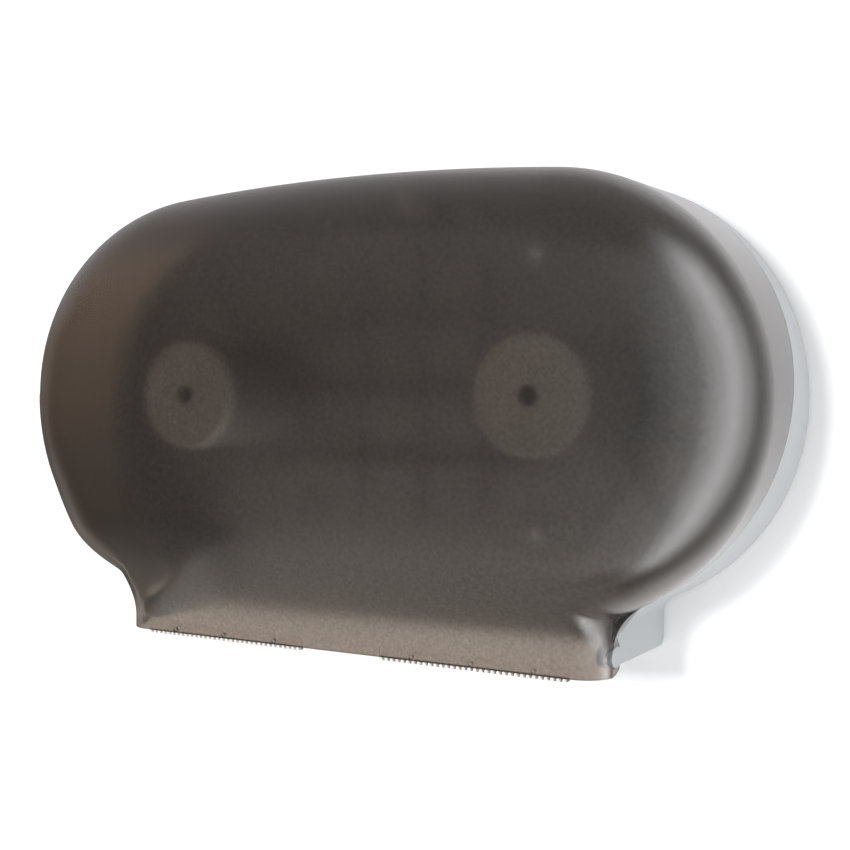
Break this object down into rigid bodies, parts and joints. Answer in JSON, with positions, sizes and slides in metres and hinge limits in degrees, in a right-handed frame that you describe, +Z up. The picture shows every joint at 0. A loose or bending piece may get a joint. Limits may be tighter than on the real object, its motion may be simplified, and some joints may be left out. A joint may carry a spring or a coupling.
{
  "type": "jumbo toilet roll dispenser",
  "caption": "Wall-hung twin jumbo toilet roll dispenser with a smoked translucent cover that swings down on a grey tray with two turning roll hubs.",
  "frame": {"origin": "on the wall plane, at the centre of the four wall screw holes, at spindle height", "axes": "+X to the right seen from the front, +Y into the wall, +Z up"},
  "size_m": [0.508, 0.137, 0.2927],
  "materials": {
    "smoked_cover": "frosted translucent smoke",
    "tray_plastic": "fine satin moulding",
    "hub_plastic": "satin moulding",
    "bar_plastic": "glossy moulding",
    "zinc_steel": "zinc plated",
    "lock_chrome": "nickel plated"
  },
  "bodies": {
    "tray": {"base_tray": "tray_plastic", "hinge_pin_left": "tray_plastic", "hinge_pin_right": "tray_plastic", "spindle_post_left": "hub_plastic", "spindle_post_right": "hub_plastic", "post_screws": "zinc_steel", "hub_washers": "zinc_steel", "hub_screws": "zinc_steel", "strike_bracket": "zinc_steel", "strike_screws": "zinc_steel"},
    "cover": {"front_cover": "smoked_cover", "tear_bar_left": "bar_plastic", "tear_bar_right": "bar_plastic", "lock_housing": "lock_chrome", "lock_nut": "zinc_steel"},
    "lock": {"lock_plug": "lock_chrome", "lock_cam": "zinc_steel", "cam_screw": "zinc_steel"},
    "hub_left": {"roll_hub_left": "hub_plastic"},
    "hub_right": {"roll_hub_right": "hub_plastic"}
  },
  "joints": [
    {"name": "cover_swing", "type": "hinge", "parent": "tray", "child": "cover", "pos_m": [0, -0.082, -0.1437], "axis": [1, 0, 0], "range_deg": [0, 85]},
    {"name": "lock_turn", "type": "hinge", "parent": "cover", "child": "lock", "pos_m": [0, -0.024, 0.12], "axis": [0, 0, 1], "range_deg": [-90, 0]},
    {"name": "hub_spin_left", "type": "hinge", "parent": "tray", "child": "hub_left", "pos_m": [-0.123, -0.055, 0], "axis": [0, -1, 0], "continuous": true},
    {"name": "hub_spin_right", "type": "hinge", "parent": "tray", "child": "hub_right", "pos_m": [0.123, -0.055, 0], "axis": [0, -1, 0], "continuous": true}
  ]
}
